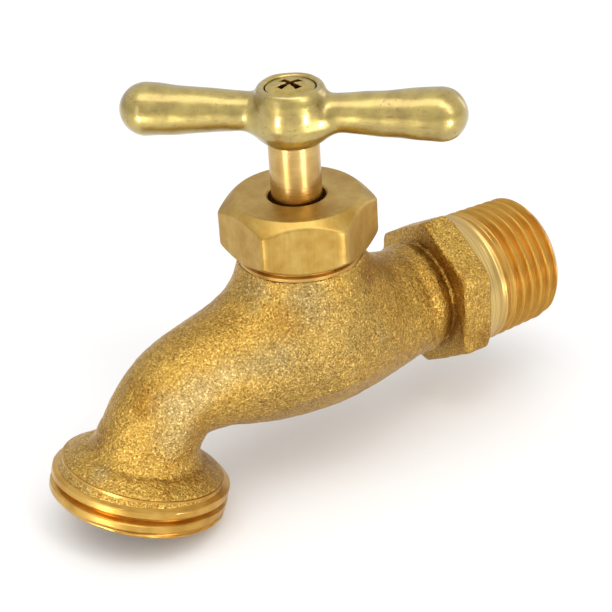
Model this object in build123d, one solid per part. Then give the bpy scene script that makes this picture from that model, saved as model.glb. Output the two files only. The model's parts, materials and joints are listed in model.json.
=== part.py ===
from build123d import *

import math
import os

# Brass hose bib: half-inch male pipe inlet, garden-hose outlet, compression valve with a tee handle.
# Millimetres. +X leaves the inlet along its pipe, +Z runs up the stem, and the origin is the centre of
# the inlet's end face. The shapes below are drawn about the stem axis, with the inlet axis at z = 0,
# and in_row_frame moves them back by the inlet's reach.

# ---- inlet ----
INLET_REACH = 43.3            # stem axis to the inlet's end face
INLET_BORE_R = 6.3
INLET_BORE_BACK = 13.0        # where that bore ends, beside the chamber
PIPE_PITCH = 25.4 / 14        # 1/2-14 NPT
PIPE_CREST_R = 10.36          # crest radius at the end face
PIPE_DEPTH = 1.4
PIPE_TAPER = 1 / 32           # radius gained per millimetre away from the end face
PIPE_LENGTH = 15.1
PIPE_RUNOUT = 2.6             # plain band between the last groove and the hexagon
PIPE_BEVEL = 1.1
HEX_WIDTH = 5.2
HEX_ACROSS = 22.2

# ---- outlet ----
HOSE_PITCH = 25.4 / 11.5      # 3/4-11.5 NH
HOSE_CREST_R = 13.49
HOSE_DEPTH = 1.35
HOSE_TILT = 17.1              # outlet axis, degrees forward of straight down
HOSE_CENTRE = (-31.74, -15.13)   # x and z of the middle of the last crest, on the outlet axis
HOSE_END = 1.1                # from there out to the sealing face
HOSE_BACK = 3.5               # and back to the edge of the bell
OUTLET_BORE_R = 9.3
OUTLET_BORE_DEPTH = 6.0
SPOUT_BORE_R = 4.9

# ---- cast trunk, chamber and spout: (x, z, radius) of round sections square to their centre line ----
BODY_SECTIONS = [
    (23.4, 0.7, 8.9),
    (12.0, 0.4, 10.2),
    (1.8, 1.4, 12.2),
    (-7.0, 0.7, 10.9),
    (-16.1, 0.8, 8.8),
    (-23.8, -0.6, 7.7),
    (-28.7, -6.0, 7.6),
    (-30.4, -11.0, 7.4),
]
SPOUT_FROM = 3                # the spout's passage starts at this section

# ---- valve seat and chamber ----
SEAT_HOLE_R = 3.6
SEAT_RING_R = 5.0
SEAT_TOP = 0.6
CHAMBER_R = 8.0
CHAMBER_FLOOR, CHAMBER_TOP = -0.3, 8.6
PASSAGE_Z = -5.1              # axis of the oval passage under the seat
PASSAGE_HALF_WIDTH, PASSAGE_HALF_HEIGHT = 5.2, 3.2
PASSAGE_FRONT, PASSAGE_BACK = -4.6, 15.0

# ---- neck and packing nut ----
NECK_R = 9.5
NECK_TOP = 16.3               # shoulder under the packing nut
NECK_FILLET = 5.0             # where the neck runs into the trunk
NECK_END = 22.2
NECK_PITCH = 25.4 / 20
NECK_CREST_R, NECK_ROOT_R = 8.6, 7.9
NECK_RIDGE = (0.53, 0.1)      # half widths of the thread's ridge, at its root and its crest
PACKING_BOX_R = 6.8
PACKING_FLOOR = 19.8
NUT_ACROSS = 21.2
NUT_BOTTOM, NUT_TOP = 16.9, 25.3
NUT_CEILING = 22.9            # underside of the nut's top
NUT_HOLE_R = 4.41
NUT_TURN = 31.1               # a corner's direction, degrees from +X
NUT_FACE_R = 9.7              # flat ring on top, inside the chamfer
THREAD_GAP = 0.2              # radial gap in the threaded pairs
FLANK_GAP = 0.12              # and the gap along the axis, on each flank

# ---- stem ----
STEM_R = 3.85
STEM_PITCH = 25.4 / 12
STEM_CREST_R, STEM_ROOT_R = 6.35, 5.4
STEM_RIDGE = (0.7, 0.38)
SLEEVE_R = 7.2                # outer limit of the threaded part of the neck
STEM_THREAD_LOW, STEM_THREAD_HIGH = 6.4, 13.4
STEM_SHOULDER = 34.3          # where the handle sits
TANG_SIDE, TANG_TOP = 6.0, 40.0
CUP_R, CUP_TOP = 5.5, 5.2
CUP_RIM_DEPTH = 1.4           # the cup's rim wraps this much of the washer
WAIST_R = 4.2
TAP_R = 1.9                   # tapped hole for the handle screw
TAP_DEPTH = 8.0

# ---- washer, packing and screws ----
SEAT_CLEARANCE = 0.03
WASHER_R, WASHER_HOLE_R, WASHER_HEIGHT = 4.75, 1.75, 3.0
WASHER_GAP = 0.1
WASHER_SCREW_R, WASHER_SCREW_HEAD_R, WASHER_SCREW_LENGTH = 1.5, 2.7, 9.0
WASHER_SCREW_HEAD = 1.3
PACKING_HEIGHT, PACKING_GAP = 1.7, 0.02
GLAND_GAP = 0.06
SCREW_HEAD_R = 3.7
SCREW_SEAT, SCREW_EDGE, SCREW_TOP = 41.0, 42.4, 43.1   # underside of the head, its edge and its dome
SCREW_LENGTH = 9.0
SCREW_TURN = 5.4              # direction of the cross in its head, degrees from +X
CROSS_REACH, CROSS_WIDTH, CROSS_DEPTH = 2.0, 1.0, 1.7

# ---- handle ----
HANDLE_Z = 38.5               # height of the tee's axis
HANDLE_TURN = -43.3           # its direction, degrees from +X
HANDLE_REACH = 21.8           # to the centre of each round end
HANDLE_END_R = 4.0
HANDLE_NECK_R, HANDLE_NECK_AT = 2.87, 6.8
BOSS_OUTLINE = [(4.15, 34.05), (5.2, 35.6), (5.7, 38.2), (5.5, 40.8), (4.95, 42.5)]
BOSS_TOP = 42.8
COUNTERBORE_GAP = 0.1         # around the screw's head
ARM_FILLET = 1.5
SOCKET_GAP = 0.05

UP = (Align.CENTER, Align.CENTER, Align.MIN)


def in_row_frame(shape):
    return Pos(-INLET_REACH, 0, 0) * shape


def along_inlet(shape):
    """Turns a shape drawn about +Z so that its +Z runs along the inlet."""
    return Rot(0, 90, 0) * shape


def along_outlet(shape):
    """Moves a shape drawn about +Z onto the outlet axis, with its +Z pointing out of the spout."""
    x, z = HOSE_CENTRE
    return Pos(x, 0, z) * Rot(0, 180 + HOSE_TILT, 0) * shape


def turned(points):
    """An outline of (radius, height) points turned about +Z."""
    return revolve(make_face(Polyline([(r, 0, z) for r, z in points], close=True)), Axis.Z)


def rod(radius, low, high):
    return Pos(0, 0, low) * Cylinder(radius, high - low, align=UP)


def ring(inner, outer, low, high):
    return rod(outer, low, high) - rod(inner, low - 1, high + 1)


def hex_prism(across, low, high, turn=0.0):
    """A hexagonal prism about +Z with one corner `turn` degrees from +X."""
    outline = RegularPolygon(across / math.sqrt(3), 6)
    return Pos(0, 0, low) * Rot(0, 0, turn) * extrude(outline, high - low)


def round_passage(sections):
    """A smooth pipe through round sections that stand square to the line through their centres."""
    line = Spline([(x, 0, z) for x, z, _ in sections])
    faces = []
    for x, z, radius in sections:
        tangent = line % line.param_at_point((x, 0, z))
        faces.append(Plane(origin=(x, 0, z), x_dir=(0, 1, 0), z_dir=tangent) * Circle(radius))
    return loft(faces)


def helical(outline, radius, pitch, low, high, cone=0.0, turn=0.0):
    """An outline of (radial, axial) offsets, swept along a right-hand helix about +Z."""
    path = Helix(pitch, high - low, radius, cone_angle=cone)
    section = make_face(Polyline([(radius + dr, 0, dz) for dr, dz in outline], close=True))
    return Pos(0, 0, low) * Rot(0, 0, turn) * sweep(section, path=path, is_frenet=True)


def groove(depth, pitch, crest_half, over=0.08):
    """Offsets from the crest of the groove that leaves ridges of the given crest half width."""
    mouth = pitch / 2 - crest_half
    wide = mouth + over * mouth / depth
    return [(-depth, -0.08), (over, -wide), (over, wide), (-depth, 0.08)]


def ridge(depth, halves, inner, outer, flank=0.0):
    """Offsets from the root of a thread's ridge, between two radii, widened by a gap on its flanks."""
    root_half, crest_half = halves
    slope = (root_half - crest_half) / depth

    def half(offset):
        return root_half - slope * max(offset, 0) + flank

    return [(inner, -half(inner)), (outer, -half(outer)), (outer, half(outer)), (inner, half(inner))]


# ---- the casting ----

def pipe_thread():
    """The tapered inlet thread about +Z, from the hexagon up to the end face."""
    low, high = INLET_REACH - PIPE_LENGTH, INLET_REACH
    base_r = PIPE_CREST_R + PIPE_LENGTH * PIPE_TAPER
    blank = turned([
        (0, low),
        (base_r, low),
        (PIPE_CREST_R + PIPE_BEVEL * PIPE_TAPER, high - PIPE_BEVEL),
        (PIPE_CREST_R - PIPE_BEVEL, high),
        (0, high),
    ])
    start = low + PIPE_RUNOUT
    start_r = base_r - PIPE_RUNOUT * PIPE_TAPER
    cone = -math.degrees(math.atan(PIPE_TAPER))
    outline = groove(PIPE_DEPTH, PIPE_PITCH, crest_half=0.12)
    return blank - helical(outline, start_r, PIPE_PITCH, start, high + PIPE_PITCH, cone=cone)


def wrench_hexagon():
    """The inlet's cast hexagon about +Z, with corners at the top and the bottom of the bib."""
    low = INLET_REACH - PIPE_LENGTH - HEX_WIDTH
    high = low + HEX_WIDTH
    flat, corner = HEX_ACROSS / 2, HEX_ACROSS / math.sqrt(3)
    rounded = turned([
        (0, low),
        (flat - 0.3, low),
        (corner, low + 0.8),
        (corner, high - 1.2),
        (flat - 0.2, high),
        (0, high),
    ])
    return hex_prism(HEX_ACROSS, low, high) & rounded


def bell():
    """The flared end of the spout with its hose thread; +Z points out of the spout."""
    edge = -HOSE_BACK
    blank = turned([
        (0, -10.2),
        (7.2, -10.2),
        (7.5, -9.0),
        (8.1, -7.8),
        (8.8, -7.0),
        (8.9, -6.7),
        (9.5, -6.6),
        (10.5, -6.0),
        (11.6, -5.2),
        (12.5, -4.3),
        (12.8, edge),
        (HOSE_CREST_R, edge + 0.7),
        (HOSE_CREST_R, HOSE_END - 0.6),
        (HOSE_CREST_R - 0.8, HOSE_END),
        (0, HOSE_END),
    ])
    outline = groove(HOSE_DEPTH, HOSE_PITCH, crest_half=0.35)
    # The groove starts half a turn behind the front of the bib, one pitch back from the last crest.
    return blank - helical(outline, HOSE_CREST_R, HOSE_PITCH, -HOSE_PITCH, HOSE_END + HOSE_PITCH, turn=120)


def neck():
    """The boss that takes the stem, with the thread for the packing nut and a relief under it."""
    relief_top = NECK_TOP + 0.9
    bevel = NECK_CREST_R - NECK_ROOT_R
    blank = turned([
        (0, 0),
        (NECK_R, 0),
        (NECK_R, NECK_TOP),
        (NECK_ROOT_R, NECK_TOP),
        (NECK_ROOT_R, relief_top),
        (NECK_CREST_R, relief_top + bevel),
        (NECK_CREST_R, NECK_END - bevel),
        (NECK_ROOT_R, NECK_END),
        (0, NECK_END),
    ])
    outline = groove(bevel, NECK_PITCH, crest_half=NECK_RIDGE[1])
    return blank - helical(outline, NECK_CREST_R, NECK_PITCH, NECK_TOP + 0.5, NECK_END + NECK_PITCH)


def stem_sleeve():
    """The part of the neck that holds the stem's female thread, in step with the stem's own at rest."""
    depth = STEM_CREST_R - STEM_ROOT_R
    outline = ridge(depth, STEM_RIDGE, THREAD_GAP - 0.1, depth + THREAD_GAP, FLANK_GAP)
    low = STEM_THREAD_LOW + STEM_RIDGE[0]
    thread = helical(outline, STEM_ROOT_R, STEM_PITCH, low, low + 7 * STEM_PITCH)
    sleeve = ring(STEM_ROOT_R + THREAD_GAP, SLEEVE_R, CHAMBER_FLOOR, NUT_TOP) - thread
    return sleeve & rod(SLEEVE_R + 1, CHAMBER_TOP, PACKING_FLOOR)


def inlet_passage():
    """The pipe-side bore and the oval passage that carries on under the seat."""
    bore = along_inlet(rod(INLET_BORE_R, INLET_BORE_BACK, INLET_REACH + 1))
    oval = Plane(origin=(PASSAGE_FRONT, 0, PASSAGE_Z), x_dir=(0, 1, 0), z_dir=(1, 0, 0)) * Ellipse(
        PASSAGE_HALF_WIDTH, PASSAGE_HALF_HEIGHT
    )
    return [bore, extrude(oval, PASSAGE_BACK - PASSAGE_FRONT), rod(SEAT_HOLE_R, PASSAGE_Z, SEAT_TOP + 1)]


def chamber():
    """The space above the seat, with the seat's raised ring left standing in it."""
    return [
        ring(SEAT_RING_R, CHAMBER_R, CHAMBER_FLOOR, CHAMBER_TOP),
        rod(SEAT_RING_R + 0.5, SEAT_TOP, CHAMBER_TOP),
    ]


def outlet_passage():
    """The spout's passage and the wider mouth behind the sealing face."""
    spout = round_passage([(x, z, SPOUT_BORE_R) for x, z, _ in BODY_SECTIONS[SPOUT_FROM:]])
    mouth_floor = HOSE_END - OUTLET_BORE_DEPTH
    mouth = turned([
        (0, mouth_floor - 2.0),
        (SPOUT_BORE_R + 0.8, mouth_floor - 2.0),
        (OUTLET_BORE_R, mouth_floor),
        (OUTLET_BORE_R, HOSE_END + 1),
        (0, HOSE_END + 1),
    ])
    return [spout, along_outlet(mouth)]


def stem_passage():
    """The bore above the chamber, before its threaded sleeve goes in, and the packing box over it."""
    return [
        rod(SLEEVE_R, CHAMBER_TOP - 0.5, PACKING_FLOOR),
        rod(PACKING_BOX_R, PACKING_FLOOR, NECK_END + 1),
    ]


def neck_root(edge):
    """True for the edges where the neck stands out of the trunk."""
    points = [edge @ t for t in (0.1, 0.5, 0.9)]
    on_neck = all(abs(math.hypot(p.X, p.Y) - NECK_R) < 0.05 for p in points)
    return on_neck and all(3 < p.Z < NECK_TOP - 0.3 for p in points)


def body_casting():
    solid = round_passage(BODY_SECTIONS) + neck()
    solid = fillet(solid.edges().filter_by(neck_root), NECK_FILLET)
    solid += along_inlet(wrench_hexagon())
    solid += along_inlet(pipe_thread())
    solid += along_outlet(bell())
    for hollow in inlet_passage() + chamber() + outlet_passage() + stem_passage():
        solid -= hollow
    return solid + stem_sleeve()


# ---- packing nut, gland and packing ----

def packing_nut():
    flat, corner = NUT_ACROSS / 2, NUT_ACROSS / math.sqrt(3)
    chamfered = turned([
        (0, NUT_BOTTOM),
        (flat - 0.2, NUT_BOTTOM),
        (corner, NUT_BOTTOM + 1.2),
        (corner, NUT_TOP - 2.15),
        (NUT_FACE_R, NUT_TOP),
        (0, NUT_TOP),
    ])
    nut = hex_prism(NUT_ACROSS, NUT_BOTTOM, NUT_TOP, NUT_TURN) & chamfered
    nut -= rod(NUT_HOLE_R, NUT_CEILING - 1, NUT_TOP + 1)
    nut -= rod(NECK_ROOT_R + THREAD_GAP, NUT_BOTTOM - 1, NUT_CEILING)
    depth = NECK_CREST_R - NECK_ROOT_R
    outline = ridge(depth, NECK_RIDGE, THREAD_GAP - 0.1, depth + THREAD_GAP, FLANK_GAP)
    low = NECK_TOP + 0.5 - NECK_PITCH / 2
    return nut - helical(outline, NECK_ROOT_R, NECK_PITCH, low, low + 5 * NECK_PITCH)


def stem_packing():
    low = PACKING_FLOOR
    return ring(STEM_R + PACKING_GAP, PACKING_BOX_R - PACKING_GAP, low, low + PACKING_HEIGHT)


def packing_gland():
    """The follower ring between the packing and the nut."""
    low = PACKING_FLOOR + PACKING_HEIGHT
    return ring(STEM_R + GLAND_GAP, PACKING_BOX_R - GLAND_GAP, low, NUT_CEILING)


# ---- stem and its washer ----

def tang(side, low, high):
    """The squared end of the stem, with its corners left round."""
    square = Pos(0, 0, low) * Box(side, side, high - low, align=UP)
    return Rot(0, 0, HANDLE_TURN) * square & rod(STEM_R + (side - TANG_SIDE) / 2, low, high)


def stem():
    washer_top = SEAT_TOP + SEAT_CLEARANCE + WASHER_HEIGHT + SEAT_CLEARANCE
    core = turned([
        (0, washer_top - CUP_RIM_DEPTH),
        (CUP_R, washer_top - CUP_RIM_DEPTH),
        (CUP_R, CUP_TOP),
        (WAIST_R, STEM_THREAD_LOW - 0.4),
        (STEM_ROOT_R, STEM_THREAD_LOW),
        (STEM_ROOT_R, STEM_THREAD_HIGH),
        (STEM_R, STEM_THREAD_HIGH + 0.8),
        (STEM_R, STEM_SHOULDER),
        (0, STEM_SHOULDER),
    ])
    depth = STEM_CREST_R - STEM_ROOT_R
    half = STEM_RIDGE[0]
    outline = ridge(depth, STEM_RIDGE, -0.3, depth)
    thread = helical(outline, STEM_ROOT_R, STEM_PITCH, STEM_THREAD_LOW + half, STEM_THREAD_HIGH - half)
    whole = core + thread + tang(TANG_SIDE, STEM_SHOULDER - 0.5, TANG_TOP)
    whole -= rod(WASHER_R + WASHER_GAP, washer_top - CUP_RIM_DEPTH - 1, washer_top)
    whole -= rod(WASHER_SCREW_R, washer_top - 1, washer_top + WASHER_SCREW_LENGTH - WASHER_HEIGHT + 1)
    return whole - rod(TAP_R, TANG_TOP - TAP_DEPTH, TANG_TOP + 1)


def seat_washer():
    low = SEAT_TOP + SEAT_CLEARANCE
    return ring(WASHER_HOLE_R, WASHER_R, low, low + WASHER_HEIGHT)


def cross_recess(top, turn, reach, width, depth):
    """The two crossed slots of a cruciform driver, narrowing towards the bottom."""
    slots = []
    for angle in (turn, turn + 90):
        mouth = Plane.XY * Rectangle(2 * reach, width)
        foot = Plane.XY.offset(-depth) * Rectangle(reach * 0.9, width * 0.6)
        slots.append(Pos(0, 0, top) * Rot(0, 0, angle) * loft([foot, mouth]))
    return slots[0] + slots[1]


def seat_washer_screw():
    """The screw under the washer; its head hangs inside the seat's hole."""
    head_top = SEAT_TOP
    head = turned([
        (0, head_top - WASHER_SCREW_HEAD),
        (WASHER_SCREW_HEAD_R - 0.6, head_top - WASHER_SCREW_HEAD),
        (WASHER_SCREW_HEAD_R, head_top - 0.5),
        (WASHER_SCREW_HEAD_R, head_top),
        (0, head_top),
    ])
    slot = Pos(0, 0, head_top - WASHER_SCREW_HEAD) * Box(2 * WASHER_SCREW_HEAD_R, 0.8, 1.2)
    return head - slot + rod(WASHER_SCREW_R, head_top - 0.2, head_top + WASHER_SCREW_LENGTH)


# ---- handle and its screw ----

def handle_arms():
    """Both arms: round ends joined by a taper that thins towards the boss, turned about the tee's axis."""
    rise = (HANDLE_END_R - HANDLE_NECK_R) / (HANDLE_REACH - HANDLE_NECK_AT)
    tangent = math.asin(rise)
    shoulder = (HANDLE_REACH - HANDLE_END_R * math.sin(tangent), HANDLE_END_R * math.cos(tangent))
    tip = (HANDLE_REACH + HANDLE_END_R, 0)
    bend = math.radians(45)
    mid = (HANDLE_REACH + HANDLE_END_R * math.cos(bend), HANDLE_END_R * math.sin(bend))
    outline = [
        Line((0, 0), (0, HANDLE_NECK_R)),
        Line((0, HANDLE_NECK_R), (HANDLE_NECK_AT, HANDLE_NECK_R)),
        Line((HANDLE_NECK_AT, HANDLE_NECK_R), shoulder),
        ThreePointArc(shoulder, mid, tip),
        Line(tip, (0, 0)),
    ]
    arm = revolve(make_face(Wire(outline)), Axis.X)
    return arm + Rot(0, 0, 180) * arm


def handle_boss():
    side = Spline([(r, 0, z) for r, z in BOSS_OUTLINE])
    (foot_r, foot_z), (top_r, top_z) = BOSS_OUTLINE[0], BOSS_OUTLINE[-1]
    rim_r = top_r - (BOSS_TOP - top_z)
    rest = Polyline((top_r, 0, top_z), (rim_r, 0, BOSS_TOP), (0, 0, BOSS_TOP), (0, 0, foot_z), (foot_r, 0, foot_z))
    return revolve(make_face(side + rest), Axis.Z)


def arm_root(edge):
    """True for the edges where an arm leaves the boss."""
    middle = edge @ 0.5
    reach = math.hypot(middle.X, middle.Y)
    return 4.8 < reach < 6.2 and 35 < middle.Z < 41.6 and abs(edge.length - math.tau * HANDLE_NECK_R) < 1.5


def tee_handle():
    solid = handle_boss() + Pos(0, 0, HANDLE_Z) * Rot(0, 0, HANDLE_TURN) * handle_arms()
    solid = fillet(solid.edges().filter_by(arm_root), ARM_FILLET)
    solid -= rod(SCREW_HEAD_R + COUNTERBORE_GAP, SCREW_SEAT, BOSS_TOP + 1)
    solid -= rod(TAP_R + 0.3, STEM_SHOULDER, BOSS_TOP + 1)
    solid -= rod(STEM_R + SOCKET_GAP, STEM_SHOULDER - 2, STEM_SHOULDER + SOCKET_GAP)
    return solid - tang(TANG_SIDE + 2 * SOCKET_GAP, STEM_SHOULDER - 1, TANG_TOP + 0.2)


def handle_screw():
    dome_r = (SCREW_HEAD_R ** 2 + (SCREW_TOP - SCREW_EDGE) ** 2) / (2 * (SCREW_TOP - SCREW_EDGE))
    dome = Pos(0, 0, SCREW_TOP - dome_r) * Sphere(dome_r)
    head = rod(SCREW_HEAD_R, SCREW_SEAT, SCREW_TOP) & dome
    screw = head + rod(TAP_R, SCREW_TOP - SCREW_LENGTH, SCREW_SEAT + 0.2)
    return screw - cross_recess(SCREW_TOP, SCREW_TURN, CROSS_REACH, CROSS_WIDTH, CROSS_DEPTH)


PARTS = [
    body_casting,
    packing_nut,
    packing_gland,
    stem_packing,
    stem,
    seat_washer,
    seat_washer_screw,
    tee_handle,
    handle_screw,
]

os.makedirs("parts", exist_ok=True)
for make in PARTS:
    export_step(in_row_frame(make()), f"parts/{make.__name__}.step")
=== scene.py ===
import json
import math

import bmesh
import bpy
import numpy as np
from mathutils import Matrix, Vector


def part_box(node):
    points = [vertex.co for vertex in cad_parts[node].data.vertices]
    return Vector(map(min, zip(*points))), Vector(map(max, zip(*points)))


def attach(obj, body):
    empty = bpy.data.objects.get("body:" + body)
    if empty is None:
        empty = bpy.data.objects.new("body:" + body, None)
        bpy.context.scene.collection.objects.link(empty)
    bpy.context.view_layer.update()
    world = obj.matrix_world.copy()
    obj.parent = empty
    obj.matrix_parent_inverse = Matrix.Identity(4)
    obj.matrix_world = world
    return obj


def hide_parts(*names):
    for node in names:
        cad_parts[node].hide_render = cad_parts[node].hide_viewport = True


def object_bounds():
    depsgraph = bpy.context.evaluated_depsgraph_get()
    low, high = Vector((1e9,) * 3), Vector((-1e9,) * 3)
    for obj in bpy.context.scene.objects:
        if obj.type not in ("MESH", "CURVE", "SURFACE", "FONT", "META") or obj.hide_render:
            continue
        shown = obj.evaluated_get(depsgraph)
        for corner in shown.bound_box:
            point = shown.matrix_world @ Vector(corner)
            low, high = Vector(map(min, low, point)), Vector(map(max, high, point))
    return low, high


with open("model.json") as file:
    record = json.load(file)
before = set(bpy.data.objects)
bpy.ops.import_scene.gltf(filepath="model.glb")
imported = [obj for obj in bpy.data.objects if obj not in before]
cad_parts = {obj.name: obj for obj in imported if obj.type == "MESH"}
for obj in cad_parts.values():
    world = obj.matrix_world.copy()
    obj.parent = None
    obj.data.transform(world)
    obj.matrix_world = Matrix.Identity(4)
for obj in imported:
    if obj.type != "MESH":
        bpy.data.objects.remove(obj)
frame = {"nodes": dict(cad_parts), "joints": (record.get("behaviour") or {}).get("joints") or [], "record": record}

# A brass hose bib. The frame holds the stem and the valve's hidden pieces; this script gives the casting,
# the nut, the handle and its screw their finished surfaces, and every piece its material.
# Shapes are worked out in millimetres about the stem axis (x = 0 there) and written in metres.

CAD_BOX = [list(corner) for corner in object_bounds()]
MM = 0.001

RECORD = frame["record"]
MOUNTS = {mount["name"]: mount for mount in RECORD["mounts"]}
JOINTS = {joint["name"]: joint for joint in frame["joints"]}


def in_mm(metres):
    return np.array(metres, float) / MM


# ---- sizes read from the frame ----
STEM_X = in_mm(JOINTS["stem_turn"]["pos_m"])[0]
INLET_REACH = -STEM_X
INLET_BORE_R = MOUNTS["inlet_bore"]["dims"]["r_mm"]
PIPE_CREST_R = MOUNTS["inlet_pipe_thread"]["dims"]["r_mm"]
PIPE_LENGTH = MOUNTS["inlet_pipe_thread"]["dims"]["length_mm"]
HOSE_CREST_R = MOUNTS["hose_thread"]["dims"]["r_mm"]
HOSE_FACE = in_mm(MOUNTS["hose_thread"]["pos_m"]) - (STEM_X, 0, 0)
HOSE_AXIS = np.array(MOUNTS["hose_thread"]["axis"], float)
OUTLET_BORE_R = MOUNTS["outlet_bore"]["dims"]["r_mm"]
OUTLET_BORE_DEPTH = MOUNTS["outlet_bore"]["dims"]["length_mm"]
NUT_LOW, NUT_HIGH = (in_mm(corner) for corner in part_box("packing_nut"))
HANDLE_LOW, HANDLE_HIGH = (in_mm(corner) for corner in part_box("tee_handle"))
SCREW_LOW, SCREW_HIGH = (in_mm(corner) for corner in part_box("handle_screw"))
GLAND_TOP = in_mm(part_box("packing_gland")[1])[2]
PACKING_FLOOR = in_mm(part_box("stem_packing")[0])[2]
PACKING_R = (in_mm(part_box("stem_packing")[1])[1] - in_mm(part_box("stem_packing")[0])[1]) / 2

# ---- sizes of the finished surfaces ----
PIPE_PITCH, PIPE_DEPTH, PIPE_TAPER = 25.4 / 14, 0.85, 1 / 32
HEX_WIDTH, HEX_ACROSS = 5.2, 22.2
HOSE_PITCH, HOSE_DEPTH = 25.4 / 11.5, 1.0
HOSE_CREST_AT = -1.42         # height of a crest's middle on the side nearest -X, from the sealing face
HOSE_BACK = 4.8               # sealing face to where the turned part meets the rough bell
BELL_R, BELL_TUCK = 12.85, 0.32   # the bell, and how far it runs on under the turned part
HOSE_SKEW, HOSE_SKEW_TURN = 0.5, 30.0   # that edge leans this far up and down, and highest at this turn
NECK_R, NECK_TOP, NECK_COLLAR = 9.5, 16.0, 0.7
NECK_PITCH, NECK_CREST_R, NECK_ROOT_R = 25.4 / 20, 8.6, 7.9
NECK_THREAD_LOW, NECK_END = 17.2, 22.2
NECK_CREST_AT = 16.8 - NECK_PITCH / 2
SLEEVE_R, CHAMBER_R, CHAMBER_TOP = 7.2, 8.0, 8.6
STEM_PITCH, STEM_CREST_AT = 2 * math.pi / 2.968434, 7.1   # millimetres, and a crest's height towards +X
STEM_CREST_R, SLEEVE_CREST_R = 6.35, 5.6
SEAT_HOLE_R, SEAT_RING_R, SEAT_TOP, CHAMBER_FLOOR = 3.6, 5.0, 0.6, -0.3
SPOUT_BORE_R = 4.9
NUT_ACROSS, NUT_TURN = 21.2, 31.1
NUT_HOLE_R, NUT_FACE_R = 4.41, 9.7
THREAD_GAP = 0.2
SCREW_SEAT, SCREW_EDGE, SCREW_TOP, TAP_R = 41.0, 42.4, 43.1, 1.9
SCREW_TURN = 5.4              # direction of the cross in its head, degrees from +X

# Centre line of the cast trunk and spout: (x, z, radius).
BODY_SECTIONS = [
    (26.5, 0.3, 7.9),
    (23.4, 0.3, 7.9),
    (12.0, 0.1, 9.9),
    (1.8, 1.4, 12.2),
    (-7.0, 0.7, 10.9),
    (-16.1, 0.8, 8.8),
    (-23.8, -0.6, 7.7),
    (-28.7, -6.0, 7.6),
    (-30.4, -11.0, 7.4),
]


# ---- meshes from signed distances ----

def smooth_min(a, b, blend):
    """The union of two distances, with a fillet about as wide as `blend`."""
    mix = np.clip(0.5 + 0.5 * (b - a) / blend, 0, 1)
    return b * (1 - mix) + a * mix - blend * mix * (1 - mix)


def smooth_max(a, b, blend):
    return -smooth_min(-a, -b, blend)


def segment_distance(x, z, a, b):
    """Distance in a plane from points to the segment a-b, and how far along it the nearest point is."""
    dx, dz = b[0] - a[0], b[1] - a[1]
    along = np.clip(((x - a[0]) * dx + (z - a[1]) * dz) / (dx * dx + dz * dz), 0, 1)
    return np.hypot(x - a[0] - along * dx, z - a[1] - along * dz), along


def outline_distance(r, h, points):
    """Signed distance in the half plane (r, h) to a closed outline, negative inside."""
    nearest = np.full(r.shape, 1e3, np.float32)
    inside = np.zeros(r.shape, bool)
    for a, b in zip(points, points[1:] + points[:1]):
        nearest = np.minimum(nearest, segment_distance(r, h, a, b)[0])
        if a[1] != b[1]:
            crossing = a[0] + (h - a[1]) / (b[1] - a[1]) * (b[0] - a[0])
            inside ^= ((h < a[1]) != (h < b[1])) & (r < crossing)
    return np.where(inside, -nearest, nearest)


def rounded_route(points, per_span=6):
    """A smooth curve through points with any number of coordinates, sampled along every span."""
    pts = np.array(points, float)
    padded = np.vstack([2 * pts[0] - pts[1], pts, 2 * pts[-1] - pts[-2]])
    route = []
    for i in range(1, len(padded) - 2):
        p0, p1, p2, p3 = padded[i - 1:i + 3]
        for t in np.linspace(0, 1, per_span, endpoint=False):
            route.append(0.5 * (2 * p1 + (p2 - p0) * t + (2 * p0 - 5 * p1 + 4 * p2 - p3) * t ** 2
                                + (3 * p1 - p0 - 3 * p2 + p3) * t ** 3))
    return np.array(route + [pts[-1]])


def pipe_distance(x, y, z, sections):
    """Distance to a bent round bar whose centre line lies in the plane y = 0."""
    route = rounded_route(sections)
    best = np.full(x.shape, 1e3, np.float32)
    for (x0, z0, r0), (x1, z1, r1) in zip(route, route[1:]):
        flat, along = segment_distance(x, z, (x0, z0), (x1, z1))
        best = np.minimum(best, np.hypot(flat, y) - (r0 + (r1 - r0) * along))
    return best


def waves(points, wavelength, height, seed, count=14):
    """Smooth random waviness: a sum of plane waves in fixed random directions."""
    rng = np.random.default_rng(seed)
    total = np.zeros(points[0].shape, np.float32)
    for _ in range(count):
        direction = rng.normal(size=3)
        direction *= 2 * math.pi / (wavelength * rng.uniform(0.7, 1.5) * np.linalg.norm(direction))
        phase = rng.uniform(0, 2 * math.pi)
        travel = points[0] * direction[0] + points[1] * direction[1] + points[2] * direction[2]
        total += np.sin(travel + phase)
    return height * total / math.sqrt(count / 2)


def grid_points(low, high, step):
    axes = [np.arange(a, b + step, step, dtype=np.float32) for a, b in zip(low, high)]
    return np.meshgrid(*axes, indexing="ij")


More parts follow.
